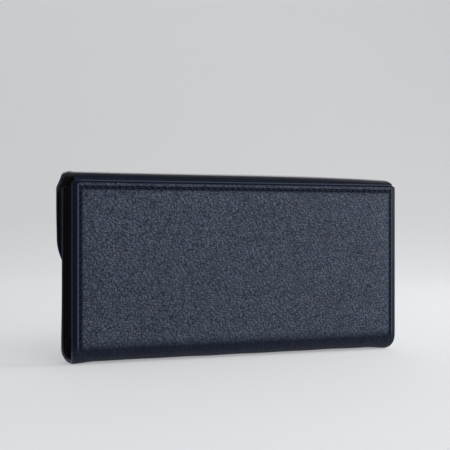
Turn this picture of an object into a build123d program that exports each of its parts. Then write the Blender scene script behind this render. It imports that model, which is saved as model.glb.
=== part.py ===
from build123d import *
import os
from math import atan2, ceil, cos, degrees, radians, sin, sqrt

# A long wallet, in millimetres. X runs along its length, the back panel faces +Y,
# the flap and the front panel face -Y, and it stands on its bottom fold with +Z up.
# Depths are counted from the back panel's outer face towards the front.

# ---- overall sizes ----
wallet_length = 190.0
body_depth = 22.0
back_height = 94.2
front_height = 92.0
roof_height = 98.6

# ---- layers of the panels and the flap ----
leather = 1.0
board = 0.7
lining = 0.5
turned_edge = 1.2
board_clearance = 0.1
lining_inset = 1.5
flap_stiffening = 0.6
flap_lining_thickness = 0.6

# ---- bottom fold ----
fold_height = 10.0
fold_back_radius = 8.8
fold_front_radius = 3.2
fold_corner = (2.0, 4.0)

# ---- back panel's top ----
top_corner = (2.6, 1.6)
tongue_depth = 10.0

# ---- flap ----
flap_drop = 37.0
flap_gap = 4.3
flap_corner_radius = 27.0
roof_side_inset = 1.8
roof_widening = 9.0
front_bend_radius = 14.0
split_angle = 45.0

# ---- stitching ----
stitch_pitch = 3.5
stitch_length = 2.6
stitch_width = 0.6
stitch_height = 0.24
side_margin = 3.3
top_margin = 4.1
groove_width = 0.9
groove_depth = 0.3

# ---- gussets ----
gusset_sheet = 0.7
gusset_bottom = 12.0
gusset_tab = 1.2
gusset_end_inset = 1.6
gusset_crest_inset = 2.6
gusset_fold_inset = 9.0
gusset_fold_depth = 4.6

# ---- inner walls ----
pocket_sheet = 0.4
card_side_inset = 10.0
card_bottom = 16.0
card_tops = {"card_slot_rear": 82.0, "card_slot_middle": 71.0, "card_slot_front": 60.0}
slip_side_inset = 11.0
slip_bottom = 14.0
slip_top = 66.0

# ---- coin pocket ----
pocket_depth = 11.4
pocket_wall = 0.6
pocket_gap = 1.0
pocket_bottom = 12.0
pocket_neck = 56.0
pocket_shoulder = 66.0
pocket_top = 70.0
pocket_slider_clearance = 0.15
pocket_head_inset = 11.0
pocket_edge_strip = 2.5
pocket_side_clearance = 0.35

# ---- zip ----
tape = 0.4
tape_half_length = 80.0
tape_edge = 1.3
tooth_pitch = 2.0
tooth_width = 1.0
tooth_height = 1.2
teeth_half_length = 71.0
teeth_gap = 0.7
stop_width = 1.5
stop_height = 1.4
slider_length = 9.0
slider_half_width = 3.0
slider_plate = 0.9
slider_clearance = 0.2
slider_web = 0.5
slider_flange = 0.5
slider_closed = 66.0
bridge_half_length = 3.4
bridge_leg = 0.8
bridge_width = 1.4
bridge_opening = 1.6
bridge_bar = 0.7
pull_length = 13.0
pull_width = 4.2
pull_thickness = 0.9
pull_arm = 0.6
pull_clearance = 0.25
pull_tongue_start = 4.0

# ---- press stud ----
snap_height = 50.0
cap_radius = 6.5
cap_thickness = 1.5
cap_rounding = 0.9
rivet_radius = 1.6
rivet_clearance = 0.1
socket_radius = 5.5
socket_height = 2.9
socket_floor = 1.0
stud_flange_radius = 5.0
stud_flange = 0.6
stud_neck_radius = 2.4
stud_head_radius = 3.0
stud_clearance = 0.6
stud_head = 1.1
stud_height = 3.0
post_head_radius = 4.5
post_depth = 1.5

# ---- worked out from the above ----
half_length = wallet_length / 2
panel = leather + board + lining
flap_thickness = leather + flap_stiffening + flap_lining_thickness
flap_inner = body_depth + flap_gap
flap_outer = flap_inner + flap_thickness
back_face = (flap_outer + cap_thickness) / 2
bend_depth = flap_outer - front_bend_radius
bend_height = roof_height - front_bend_radius
roof_rise = roof_height - back_height
roof_run = bend_depth - leather
roof_radius = (roof_run**2 + roof_rise**2) / (2 * roof_rise)
roof_centre_height = roof_height - roof_radius
roof_half = half_length - roof_side_inset
pocket_head_half = slider_half_width + pocket_slider_clearance + pocket_wall
tape_height = pocket_top + tape
tooth_middle = pocket_top + tape / 2
plate_top = tooth_middle + tooth_height / 2 + slider_clearance + slider_plate


def at(depth, height):
    """Depth and height as a point in the plane across the wallet."""
    return (back_face - depth, height)


def bar(outline, half):
    """A section across the wallet, drawn out to this half length both ways."""
    return extrude(Plane.YZ * outline, amount=half, both=True)


def sheet(outline, depth, thickness):
    """An outline in length and height, from this depth towards the front."""
    return Pos(0, back_face - depth, 0) * extrude(Plane.XZ * outline, amount=thickness)


def block(x_low, x_high, depth_low, depth_high, bottom, top):
    size = Box(x_high - x_low, depth_high - depth_low, top - bottom)
    middle = back_face - (depth_low + depth_high) / 2
    return Pos((x_low + x_high) / 2, middle, (bottom + top) / 2) * size


def plate(half, depth, thickness, bottom, top):
    return block(-half, half, depth, depth + thickness, bottom, top)


def disc(radius, depth, thickness):
    """A round plate on the press stud's axis, from this depth towards the front."""
    return sheet(Pos(0, snap_height) * Circle(radius), depth, thickness)


def section(points):
    return make_face(Polyline(*points, close=True))


# ---- panels ----
def panel_outline(top):
    cut, drop = top_corner
    right = [(half_length, fold_height), (half_length, top - drop), (half_length - cut, top)]
    left = [(-x, z) for x, z in reversed(right)]
    return section(right + left)


def covered_panel(skin_depth, rim_depth, top, rim_top):
    """Outer leather with its edges turned over the board, as a shallow tray."""
    skin = sheet(panel_outline(top), skin_depth, leather)
    rim = sheet(panel_outline(top), rim_depth, board)
    hollow = plate(half_length - turned_edge, rim_depth, board, fold_height, rim_top)
    return skin + (rim - hollow)


def seam_path(top):
    """Line of the stitching round a panel: up one side, along the top and down."""
    side = half_length - side_margin
    line = top - top_margin
    return [(-side, fold_height), (-side, line), (side, line), (side, fold_height)]


def groove(depth, top):
    """The pressed line round a panel that its stitches lie in."""
    half = groove_width / 2
    side = half_length - side_margin
    line = top - top_margin
    outer = plate(side + half, depth, groove_depth, fold_height, line + half)
    inner = plate(side - half, depth, groove_depth, fold_height, line - half)
    return outer - inner


def back_cover():
    """Its top edge is left open, for the flap's tongue."""
    return covered_panel(0, leather, back_height, back_height) - groove(0, back_height)


def front_cover():
    skin_depth = body_depth - leather
    cover = covered_panel(skin_depth, skin_depth - board, front_height, front_height - turned_edge)
    cover = cover - groove(body_depth - groove_depth, front_height)
    return cover - disc(rivet_radius + rivet_clearance, skin_depth, leather)


def back_board():
    half = half_length - turned_edge - board_clearance
    top = back_height - tongue_depth - board_clearance
    return plate(half, leather, board, fold_height, top)


def front_board():
    half = half_length - turned_edge - board_clearance
    depth = body_depth - leather - board
    top = front_height - turned_edge - board_clearance
    whole = plate(half, depth, board, fold_height, top)
    return whole - disc(post_head_radius + rivet_clearance, depth, board)


def back_lining():
    half = half_length - lining_inset
    return plate(half, leather + board, lining, fold_height, back_height - lining_inset)


def front_lining():
    half = half_length - lining_inset
    return plate(half, body_depth - panel, lining, fold_height, front_height - lining_inset)


# ---- bottom fold ----
def fold_section(offset, thickness):
    def edge(inset):
        back = fold_back_radius - inset
        front = fold_front_radius - inset
        back_centre = at(fold_back_radius, fold_back_radius)
        front_centre = at(body_depth - fold_front_radius, fold_front_radius)
        side = Line(at(inset, fold_height), at(inset, fold_back_radius))
        rear = CenterArc(back_centre, back, 0, -90)
        floor = Line(at(fold_back_radius, inset), at(body_depth - fold_front_radius, inset))
        fore = CenterArc(front_centre, front, 180, 90)
        rise = Line(at(body_depth - inset, fold_front_radius), at(body_depth - inset, fold_height))
        return [side, rear, floor, fore, rise]

    outer = edge(offset)
    inner = edge(offset + thickness)
    ends = [
        Line(at(offset, fold_height), at(offset + thickness, fold_height)),
        Line(at(body_depth - offset, fold_height), at(body_depth - offset - thickness, fold_height)),
    ]
    return make_face(outer + inner + ends)


def fold_outline(half):
    cut, rise = fold_corner
    right = [(half - cut, 0), (half, rise), (half, fold_height)]
    left = [(-x, z) for x, z in reversed(right)]
    return section(right + left)


def folded(offset, thickness, half):
    strip = bar(fold_section(offset, thickness), half)
    return strip & sheet(fold_outline(half), 0, body_depth)


def bottom_fold():
    return folded(0, leather, half_length)


def bottom_lining():
    return folded(leather + board, lining, half_length - lining_inset)


# ---- flap: tongue, roof and front ----
def bend_point(offset, angle):
    radius = front_bend_radius - offset
    depth = bend_depth + radius * cos(radians(angle))
    return at(depth, bend_height + radius * sin(radians(angle)))


def flap_section(offset, thickness):
    """From the fold line round the bend and straight down the front."""
    def arc(inset):
        middle = bend_point(inset, split_angle / 2)
        return ThreePointArc(bend_point(inset, split_angle), middle, bend_point(inset, 0))

    outer = offset
    inner = offset + thickness
    low_outer = at(flap_outer - outer, flap_drop)
    low_inner = at(flap_outer - inner, flap_drop)
    edges = [
        arc(outer),
        Line(bend_point(outer, 0), low_outer),
        Line(low_outer, low_inner),
        Line(low_inner, bend_point(inner, 0)),
        arc(inner),
        Line(bend_point(inner, split_angle), bend_point(outer, split_angle)),
    ]
    return make_face(edges)


def flap_outline(inset):
    side = half_length - inset
    shoulder = bend_height + roof_widening / 2
    top = roof_height
    right = [
        (side, flap_drop + inset),
        (side, shoulder),
        (roof_half - inset, shoulder + roof_widening),
        (roof_half - inset, top + roof_widening),
    ]
    left = [(-x, z) for x, z in reversed(right)]
    outline = section(right + left)
    low = outline.vertices().sort_by(Axis.Y)[:2]
    return fillet(low, flap_corner_radius - inset)


def flap_layer(offset, thickness, inset):
    strip = bar(flap_section(offset, thickness), half_length)
    return strip & sheet(flap_outline(inset), 0, flap_outer)


def rivet_hole():
    return disc(rivet_radius + rivet_clearance, flap_inner, flap_thickness)


def flap_cover():
    skin = flap_layer(0, leather, 0)
    turned = flap_layer(leather, flap_stiffening, 0) - flap_layer(leather, flap_stiffening, turned_edge)
    return skin + turned - rivet_hole() - flap_groove()


def flap_stiffener():
    layer = flap_layer(leather, flap_stiffening, turned_edge + board_clearance)
    return layer - rivet_hole()


def flap_lining():
    layer = flap_layer(leather + flap_stiffening, flap_lining_thickness, lining_inset)
    return layer - rivet_hole()


def roof_section(offset, thickness):
    """From the back panel's top edge over the crest to the fold line."""
    floor = back_height - roof_centre_height

    def arcs(inset):
        radius = roof_radius - inset
        reach = sqrt(radius**2 - floor**2)
        start = at(bend_depth - reach, back_height)
        crest = at(bend_depth, roof_height - inset)
        lean = degrees(atan2(floor, reach))
        half_way = radians((lean + 90) / 2)
        middle = at(
            bend_depth - radius * cos(half_way), roof_centre_height + radius * sin(half_way)
        )
        bend_middle = bend_point(inset, (90 + split_angle) / 2)
        end = bend_point(inset, split_angle)
        return start, end, [ThreePointArc(start, middle, crest), ThreePointArc(crest, bend_middle, end)]

    outer_start, outer_end, outer = arcs(offset)
    inner_start, inner_end, inner = arcs(offset + thickness)
    return make_face(outer + inner + [Line(outer_start, inner_start), Line(outer_end, inner_end)])


def flap_roof():
    return bar(roof_section(0, leather), roof_half)


def roof_lining():
    return bar(roof_section(leather, flap_lining_thickness), roof_half - lining_inset)


def flap_tongue():
    return plate(roof_half, leather, board, back_height - tongue_depth, back_height)


# ---- stitching ----
def stitch():
    outline = SlotOverall(stitch_length, stitch_width)
    return sheet(outline, back_face, stitch_height)


def stitches_along(corners, depth):
    """Even stitches along straight runs, at this depth."""
    found = []
    for start, end in zip(corners, corners[1:]):
        run = Vector(*end) - Vector(*start)
        count = ceil(run.length / stitch_pitch) - 1
        turn = degrees(atan2(run.Y, run.X))
        for index in range(count):
            spot = Vector(*start) + run * ((index + 0.5) / count)
            found.append(Pos(spot.X, back_face - depth, spot.Y) * Rot(0, -turn, 0) * stitch())
    return found


def back_stitching():
    return Compound(children=stitches_along(seam_path(back_height), groove_depth - stitch_height))


def front_stitching():
    return Compound(children=stitches_along(seam_path(front_height), body_depth - groove_depth))


def flap_stitching():
    """Stitches down both sides of the flap, round its corners and along its lower edge."""
    side = half_length - side_margin
    low = flap_drop + side_margin
    radius = flap_corner_radius - side_margin
    turn = low + radius
    depth = flap_outer - groove_depth
    found = stitches_along([(-side, bend_height), (-side, turn)], depth)
    found = found + stitches_along([(-side + radius, low), (side - radius, low)], depth)
    found = found + stitches_along([(side, turn), (side, bend_height)], depth)
    count = round(radius * radians(90) / stitch_pitch)
    for end in (-1, 1):
        for index in range(count):
            angle = 90 * (index + 0.5) / count
            x = end * (side - radius + radius * sin(radians(angle)))
            z = turn - radius * cos(radians(angle))
            spot = Pos(x, back_face - depth, z) * Rot(0, -end * angle, 0)
            found.append(spot * stitch())
    return Compound(children=found)


def flap_groove():
    """The pressed line that the flap's stitches lie in."""
    half = groove_width / 2
    depth = flap_outer - groove_depth
    outer = sheet(flap_outline(side_margin - half), depth, groove_depth)
    inner = sheet(flap_outline(side_margin + half), depth, groove_depth)
    above = plate(half_length, depth, groove_depth, bend_height, roof_height + roof_widening)
    return outer - inner - above


# ---- gussets ----
def gusset_points():
    """Middle line of the folded gusset, as length and depth, from back to front."""
    near = panel + gusset_sheet / 2
    far = body_depth - panel - gusset_sheet / 2
    end = half_length - gusset_end_inset
    fold = half_length - gusset_fold_inset
    crest = half_length - gusset_crest_inset
    return [
        (end, near),
        (end - gusset_tab, near),
        (fold, panel + gusset_fold_depth),
        (crest, pocket_depth),
        (fold, 2 * pocket_depth - panel - gusset_fold_depth),
        (end - gusset_tab, far),
        (end, far),
    ]


def gusset(side):
    line = Polyline(*[(side * x, back_face - depth) for x, depth in gusset_points()])
    outline = make_face(offset(line, gusset_sheet / 2, kind=Kind.INTERSECTION, side=Side.BOTH))
    return Pos(0, 0, gusset_bottom) * extrude(outline, amount=front_height - gusset_bottom)


# ---- inner walls ----
def card_slots():
    found = {}
    depth = panel
    for name, top in card_tops.items():
        found[name] = plate(half_length - card_side_inset, depth, pocket_sheet, card_bottom, top)
        depth = depth + pocket_sheet
    return found


def slip_pocket():
    depth = body_depth - panel - pocket_sheet
    return plate(half_length - slip_side_inset, depth, pocket_sheet, slip_bottom, slip_top)


# ---- coin pocket ----
def pocket_side_reach():
    """How far the flat part of the pocket reaches into the gusset's middle fold."""
    crest = half_length - gusset_crest_inset
    fold = half_length - gusset_fold_inset
    mouth = pocket_depth - panel - gusset_fold_depth
    slope = mouth / (crest - fold)
    lean = sqrt(1 + slope**2)
    half_pocket = pocket_gap / 2 + pocket_wall
    needed = half_pocket + (gusset_sheet / 2 + pocket_side_clearance) * lean
    return crest - needed / slope


def pocket_wall_solid(side):
    """One wall: flat below, opening out to carry the zip above."""
    inner = pocket_gap / 2
    outer = inner + pocket_wall
    head_inner = pocket_head_half - pocket_wall
    points = [
        (inner, pocket_bottom),
        (inner, pocket_neck),
        (head_inner, pocket_shoulder),
        (head_inner, pocket_top),
        (pocket_head_half, pocket_top),
        (pocket_head_half, pocket_shoulder),
        (outer, pocket_neck),
        (outer, pocket_bottom),
    ]
    profile = section([at(pocket_depth + side * u, z) for u, z in points])
    wall = bar(profile, pocket_side_reach())
    head_half = half_length - pocket_head_inset
    depth = pocket_depth - body_depth / 2
    for end in (-1, 1):
        low, high = sorted((end * head_half, end * half_length))
        wall = wall - block(low, high, depth, depth + body_depth, pocket_neck, pocket_top)
    return wall


def pocket_edges():
    """Strips that close the flat pocket between its walls, at both sides and below."""
    reach = pocket_side_reach()
    depth = pocket_depth - pocket_gap / 2
    far = depth + pocket_gap
    inner = reach - pocket_edge_strip
    bottom_top = pocket_bottom + pocket_edge_strip
    strips = [block(-inner, inner, depth, far, pocket_bottom, bottom_top)]
    for end in (-1, 1):
        low, high = sorted((end * inner, end * reach))
        strips.append(block(low, high, depth, far, pocket_bottom, pocket_neck))
    return Compound(children=strips)


# ---- zip ----
def zip_tape(side):
    low, high = sorted((pocket_depth + side * tape_edge, pocket_depth + side * pocket_head_half))
    return block(-tape_half_length, tape_half_length, low, high, pocket_top, tape_height)


def zip_teeth(side):
    low, high = sorted((pocket_depth + side * teeth_gap / 2, pocket_depth + side * tape_edge))
    bottom = tooth_middle - tooth_height / 2
    count = int(2 * teeth_half_length / tooth_pitch)
    first = -teeth_half_length + tooth_pitch / 4 * (1 + side)
    teeth = []
    for index in range(count):
        start = first + index * tooth_pitch
        teeth.append(block(start, start + tooth_width, low, high, bottom, bottom + tooth_height))
    return Compound(children=teeth)


def zip_stops():
    bottom = tooth_middle - stop_height / 2
    stops = []
    for end in (-1, 1):
        for side in (-1, 1):
            edges = (pocket_depth + side * teeth_gap / 2, pocket_depth + side * tape_edge)
            low, high = sorted(edges)
            start = teeth_half_length + slider_clearance
            near, far = sorted((end * start, end * (start + stop_width)))
            stops.append(block(near, far, low, high, bottom, bottom + stop_height))
    return Compound(children=stops)


def zip_slider():
    half = slider_length / 2
    low = slider_closed - half
    high = slider_closed + half
    under = tooth_middle - tooth_height / 2 - slider_clearance
    over = tooth_middle + tooth_height / 2 + slider_clearance
    near = pocket_depth - slider_half_width
    far = pocket_depth + slider_half_width
    body = block(low, high, near, far, under - slider_plate, under)
    body = body + block(low, high, near, far, over, plate_top)
    web_near = pocket_depth - slider_web / 2
    body = body + block(low, high, web_near, web_near + slider_web, under, over)
    for edge in (near, far - slider_flange):
        outer = edge + slider_flange
        body = body + block(low, high, edge, outer, under, pocket_top - slider_clearance)
        body = body + block(low, high, edge, outer, tape_height + slider_clearance, over)
    return body + slider_bridge()


def slider_bridge():
    """The loop on top of the slider that the pull hangs on."""
    near = pocket_depth - bridge_width / 2
    far = near + bridge_width
    top = plate_top + bridge_opening + bridge_bar
    low = slider_closed - bridge_half_length
    high = slider_closed + bridge_half_length
    loop = block(low, high, near, far, plate_top, top)
    opening = block(
        low + bridge_leg, high - bridge_leg, near, far, plate_top, plate_top + bridge_opening
    )
    return loop - opening


def pull_axis_height():
    return plate_top + bridge_opening / 2


def zip_pull():
    """A crossbar under the bridge, two arms beside it and a flat tongue."""
    height = pull_axis_height()
    half = pull_thickness / 2
    inner = bridge_width / 2 + pull_clearance
    outer = inner + pull_arm
    bar_axis = Pos(slider_closed, back_face - pocket_depth, height) * Rot(90, 0, 0)
    pull = bar_axis * Cylinder(half, 2 * outer)
    for side in (-1, 1):
        near, far = sorted((pocket_depth + side * inner, pocket_depth + side * outer))
        end = slider_closed - pull_tongue_start
        pull = pull + block(end, slider_closed, near, far, height - half, height + half)
    start = slider_closed - pull_length
    end = slider_closed - pull_tongue_start
    near = pocket_depth - pull_width / 2
    tongue = block(start, end, near, near + pull_width, height - half, height + half)
    tongue = fillet(tongue.edges().filter_by(Axis.Z).group_by(Axis.X)[0], pull_width / 4)
    return pull + tongue


# ---- press stud ----
def snap_cap():
    head = disc(cap_radius, flap_outer, cap_thickness)
    rim = head.edges().filter_by(GeomType.CIRCLE).sort_by(Axis.Y)[0]
    head = fillet(rim, cap_rounding)
    rivet = disc(rivet_radius, flap_inner - socket_floor, flap_thickness + socket_floor)
    return head + rivet


def snap_socket():
    start = flap_inner - socket_height
    ring = disc(socket_radius, start, socket_height)
    ring = ring - disc(stud_head_radius + stud_clearance, start, socket_height - socket_floor)
    return ring - disc(rivet_radius + rivet_clearance, flap_inner - socket_floor, socket_floor)


def snap_stud():
    neck_end = stud_height - stud_head
    stud = disc(stud_flange_radius, body_depth, stud_flange)
    stud = stud + disc(stud_neck_radius, body_depth + stud_flange, neck_end - stud_flange)
    stud = stud + disc(stud_head_radius, body_depth + neck_end, stud_head)
    return stud - disc(rivet_radius + rivet_clearance, body_depth, post_depth)


def snap_post():
    head_depth = body_depth - leather - board
    head = disc(post_head_radius, head_depth, board)
    return head + disc(rivet_radius, body_depth - leather, leather + post_depth)


def main():
    parts = {
        "back_cover": back_cover(),
        "front_cover": front_cover(),
        "bottom_fold": bottom_fold(),
        "back_board": back_board(),
        "front_board": front_board(),
        "back_lining": back_lining(),
        "front_lining": front_lining(),
        "bottom_lining": bottom_lining(),
        "flap_tongue": flap_tongue(),
        "flap_roof": flap_roof(),
        "roof_lining": roof_lining(),
        "flap_cover": flap_cover(),
        "flap_stiffener": flap_stiffener(),
        "flap_lining": flap_lining(),
        "back_stitching": back_stitching(),
        "front_stitching": front_stitching(),
        "flap_stitching": flap_stitching(),
        "right_gusset": gusset(1),
        "left_gusset": gusset(-1),
        "slip_pocket": slip_pocket(),
        "coin_pocket_rear_wall": pocket_wall_solid(-1),
        "coin_pocket_front_wall": pocket_wall_solid(1),
        "coin_pocket_edges": pocket_edges(),
        "zip_tape_rear": zip_tape(-1),
        "zip_tape_front": zip_tape(1),
        "zip_teeth_rear": zip_teeth(-1),
        "zip_teeth_front": zip_teeth(1),
        "zip_stops": zip_stops(),
        "zip_slider": zip_slider(),
        "zip_pull": zip_pull(),
        "snap_cap": snap_cap(),
        "snap_socket": snap_socket(),
        "snap_stud": snap_stud(),
        "snap_post": snap_post(),
    }
    parts.update(card_slots())
    os.makedirs("parts", exist_ok=True)
    for name, shape in parts.items():
        export_step(shape, f"parts/{name}.step")


main()
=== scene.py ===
import bpy
import bmesh
import math
import numpy as np
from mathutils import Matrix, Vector


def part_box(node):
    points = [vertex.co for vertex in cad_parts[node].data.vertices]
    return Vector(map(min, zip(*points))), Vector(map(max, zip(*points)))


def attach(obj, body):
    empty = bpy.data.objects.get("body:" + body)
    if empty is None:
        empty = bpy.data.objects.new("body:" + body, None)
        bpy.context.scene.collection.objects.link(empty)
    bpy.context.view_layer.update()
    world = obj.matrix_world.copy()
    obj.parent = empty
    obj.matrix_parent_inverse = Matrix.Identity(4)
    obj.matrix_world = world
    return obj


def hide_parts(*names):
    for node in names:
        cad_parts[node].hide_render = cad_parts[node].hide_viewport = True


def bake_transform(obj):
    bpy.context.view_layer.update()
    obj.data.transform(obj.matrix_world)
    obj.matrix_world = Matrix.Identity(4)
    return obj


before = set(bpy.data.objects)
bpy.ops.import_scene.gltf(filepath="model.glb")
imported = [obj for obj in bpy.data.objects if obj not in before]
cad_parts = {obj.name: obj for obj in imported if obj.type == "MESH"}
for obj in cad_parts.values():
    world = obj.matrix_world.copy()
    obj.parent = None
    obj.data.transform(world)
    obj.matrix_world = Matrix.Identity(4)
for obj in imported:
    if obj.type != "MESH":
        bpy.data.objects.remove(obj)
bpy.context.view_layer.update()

mm = 0.001


def nodeBox(name):
    # a CAD node's lowest and highest corners, in millimetres
    low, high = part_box(name)
    return np.array(low) / mm, np.array(high) / mm


backLow, backHigh = nodeBox("back_cover")
frontLow, frontHigh = nodeBox("front_cover")
flapLow = nodeBox("flap_cover")[0]
roofHigh = nodeBox("flap_roof")[1]
wallet = {
    "backFace": backHigh[1],
    "frontFace": frontLow[1],
    "halfLength": backHigh[0],
    "backTop": backHigh[2],
    "frontTop": frontHigh[2],
    "foldTop": backLow[2],
    "flapFace": flapLow[1],
    "flapDrop": flapLow[2],
    "roofTop": roofHigh[2],
    "roofHalf": roofHigh[0],
}
middleDepth = 11.4  # how far in the body's middle is from the back face


def depthToY(depth):
    return wallet["backFace"] - depth


def gridQuads(rows, cols, start=0, flip=False):
    # every cell of a rows by cols grid as a quad of vertex numbers
    index = start + np.arange(rows * cols).reshape(rows, cols)
    quads = np.stack([index[:-1, :-1], index[1:, :-1], index[1:, 1:], index[:-1, 1:]], -1)
    quads = quads.reshape(-1, 4)
    return quads[:, ::-1] if flip else quads


def tubeQuads(rings, sides, count=1):
    # the cells of rings that close on themselves, for this many tubes one after another
    index = np.arange(rings * sides).reshape(rings, sides)
    following = np.roll(index, -1, 1)
    quads = np.stack([index[:-1], following[:-1], following[1:], index[1:]], -1).reshape(-1, 4)
    return (quads[None] + (np.arange(count) * rings * sides)[:, None, None]).reshape(-1, 4)


def borderLoop(rows, cols):
    # the grid's outside vertices in order, once round
    index = np.arange(rows * cols).reshape(rows, cols)
    return np.concatenate([index[:-1, 0], index[-1, :-1], index[:0:-1, -1], index[0, :0:-1]])


def makePiece(name, points, quads, material, marks=None, smooth=True):
    mesh = bpy.data.meshes.new(name)
    mesh.from_pydata((points * mm).tolist(), [], quads.tolist())
    mesh.polygons.foreach_set("use_smooth", np.full(len(quads), smooth))
    for label, values in (marks or {}).items():
        layer = mesh.attributes.new(label, "FLOAT", "POINT")
        layer.data.foreach_set("value", values.astype(np.float32).ravel())
    mesh.update()
    piece = bpy.data.objects.new(name, mesh)
    bpy.context.scene.collection.objects.link(piece)
    mesh.materials.append(material)
    cleanMesh(mesh)
    return piece


def cleanMesh(mesh, merge=False, fill=False):
    # faces turned outward, after coinciding points are merged or open ends are filled
    work = bmesh.new()
    work.from_mesh(mesh)
    if merge:
        bmesh.ops.remove_doubles(work, verts=work.verts, dist=1e-6)
    if fill:
        bmesh.ops.holes_fill(work, edges=[edge for edge in work.edges if edge.is_boundary], sides=0)
    bmesh.ops.recalc_face_normals(work, faces=work.faces)
    work.to_mesh(mesh)
    work.free()


def settle(piece, nodes, body, onward=None):
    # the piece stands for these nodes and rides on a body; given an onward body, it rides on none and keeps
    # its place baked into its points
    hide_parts(*nodes)
    if onward:
        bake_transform(piece)
    else:
        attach(piece, body)
    return piece


def closedSheet(name, outer, inner, material, marks=None):
    # two grids of the same shape, joined round their border by a strip
    rows, cols = outer.shape[:2]
    count = rows * cols
    loop = borderLoop(rows, cols)
    nextOne = np.roll(loop, -1)
    rim = np.stack([loop, nextOne, nextOne + count, loop + count], -1)
    quads = np.concatenate([gridQuads(rows, cols), gridQuads(rows, cols, count, True), rim])
    points = np.concatenate([outer.reshape(-1, 3), inner.reshape(-1, 3)])
    doubled = {label: np.tile(values.ravel(), 2) for label, values in (marks or {}).items()}
    return makePiece(name, points, quads, material, doubled)


def bentPath(corners, radii, step, arcStep, outside):
    # straight runs joined by tangent arcs; gives points, outward normals and the distance along
    corners = np.array(corners, float)
    points, normals = [], []
    cursor = corners[0]
    for number in range(1, len(corners)):
        along = corners[number] - corners[number - 1]
        along = along / np.linalg.norm(along)
        normal = outside * np.array([-along[1], along[0]])
        last = number == len(corners) - 1
        if last:
            runEnd = corners[number]
        else:
            onward = corners[number + 1] - corners[number]
            onward = onward / np.linalg.norm(onward)
            turn = math.atan2(along[0] * onward[1] - along[1] * onward[0], float(along @ onward))
            cut = radii[number - 1] * math.tan(abs(turn) / 2)
            runEnd = corners[number] - along * cut
        count = max(1, math.ceil(np.linalg.norm(runEnd - cursor) / step))
        share = (np.arange(count + (1 if last else 0)) / count)[:, None]
        points.append(cursor + (runEnd - cursor) * share)
        normals.append(np.repeat(normal[None], len(share), 0))
        if last:
            break
        side = math.copysign(1.0, turn) * np.array([-along[1], along[0]])
        centre = runEnd + side * radii[number - 1]
        count = max(2, math.ceil(abs(turn) * radii[number - 1] / arcStep))
        angle = turn * np.arange(count) / count
        cosine, sine = np.cos(angle)[:, None], np.sin(angle)[:, None]
        spoke = runEnd - centre
        points.append(centre + spoke * cosine + np.array([-spoke[1], spoke[0]]) * sine)
        normals.append(normal * cosine + np.array([-normal[1], normal[0]]) * sine)
        cursor = corners[number] + onward * cut
    points, normals = np.concatenate(points), np.concatenate(normals)
    gaps = np.linalg.norm(np.diff(points, axis=0), axis=1)
    return points, normals, np.concatenate([[0], np.cumsum(gaps)])


def resample(path, places):
    # the same path read at other distances along it
    points, normals, along = path
    there = np.stack([np.interp(places, along, points[:, k]) for k in range(2)], -1)
    facing = np.stack([np.interp(places, along, normals[:, k]) for k in range(2)], -1)
    return there, facing / np.linalg.norm(facing, axis=1, keepdims=True)


def offPath(spine, facing, x, depth):
    # at every x, the path's points moved out along its normals by this depth
    yz = spine[:, None, :] + facing[:, None, :] * depth[..., None]
    return np.concatenate([x[..., None], yz], -1)


def edgeSteps(half, fine, coarse):
    # shares from -1 to 1 across a width: the fine distances from each edge, coarse steps between
    left = fine[-1]
    inner = np.linspace(left, half, max(2, math.ceil((half - left) / coarse)))[1:]
    distances = np.concatenate([fine, inner])
    share = 1 - distances / half
    return np.concatenate([-share, share[-2::-1]])


def smoothStep(value, low, high):
    share = np.clip((value - low) / (high - low), 0, 1)
    return share * share * (3 - 2 * share)


def roundedDrop(distance, radius, depth):
    # how far a rounded edge falls away, a quarter ellipse over the first radius
    share = 1 - np.clip(distance, 0, radius) / radius
    return depth * (1 - np.sqrt(np.clip(1 - share**2, 0, 1)))


def bump(value, centre, width):
    # a smooth hump, 1 at the centre and fading as a bell
    return np.exp(-(((value - centre) / width) ** 2))


def softWaves(x, s, seed, longest, count=9):
    # a sum of sine waves in seeded directions and lengths, about -1 to 1
    chance = np.random.default_rng(seed)
    total = np.zeros(np.broadcast(x, s).shape)
    turns = chance.uniform(0, math.pi, count)
    lengths = longest * chance.uniform(0.35, 1, count)
    phases = chance.uniform(0, 2 * math.pi, count)
    for turn, length, phase in zip(turns, lengths, phases):
        total = total + np.sin(2 * math.pi * (x * math.cos(turn) + s * math.sin(turn)) / length + phase)
    return total / math.sqrt(count)


fineEdge = np.array([
    0, 0.12, 0.3, 0.55, 0.85, 1.1, 1.26, 1.5, 1.8, 2.1, 2.35, 2.6, 2.9, 3.15, 3.4, 3.65, 3.9, 4.2, 4.6, 5.1,
    5.8])
liningEdge = np.array([0, 0.2, 0.5, 1.2, 2.4])


def newMaterial(name, finish):
    material = bpy.data.materials.new(name)
    material.use_nodes = True
    shader = material.node_tree.nodes["Principled BSDF"]
    shader.inputs["Roughness"].default_value = finish.get("roughness", 0.5)
    shader.inputs["Metallic"].default_value = finish.get("metallic", 0.0)
    shader.inputs["Specular IOR Level"].default_value = finish.get("specular", 0.5)
    shader.inputs["Sheen Weight"].default_value = finish.get("sheen", 0.0)
    shader.inputs["Coat Weight"].default_value = finish.get("coat", 0.0)
    return material, material.node_tree, shader


def feed(tree, socket, value):
    # a socket takes another node's output or a plain value
    if hasattr(value, "links"):
        tree.links.new(value, socket)
    else:
        socket.default_value = value


def addNode(tree, kind, inputs=None, **settings):
    node = tree.nodes.new("ShaderNode" + kind)
    for label, value in settings.items():
        setattr(node, label, value)
    for label, value in (inputs or {}).items():
        feed(tree, node.inputs[label], value)
    return node


def mathNode(tree, operation, *values):
    return addNode(tree, "Math", dict(enumerate(values)), operation=operation).outputs[0]


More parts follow.
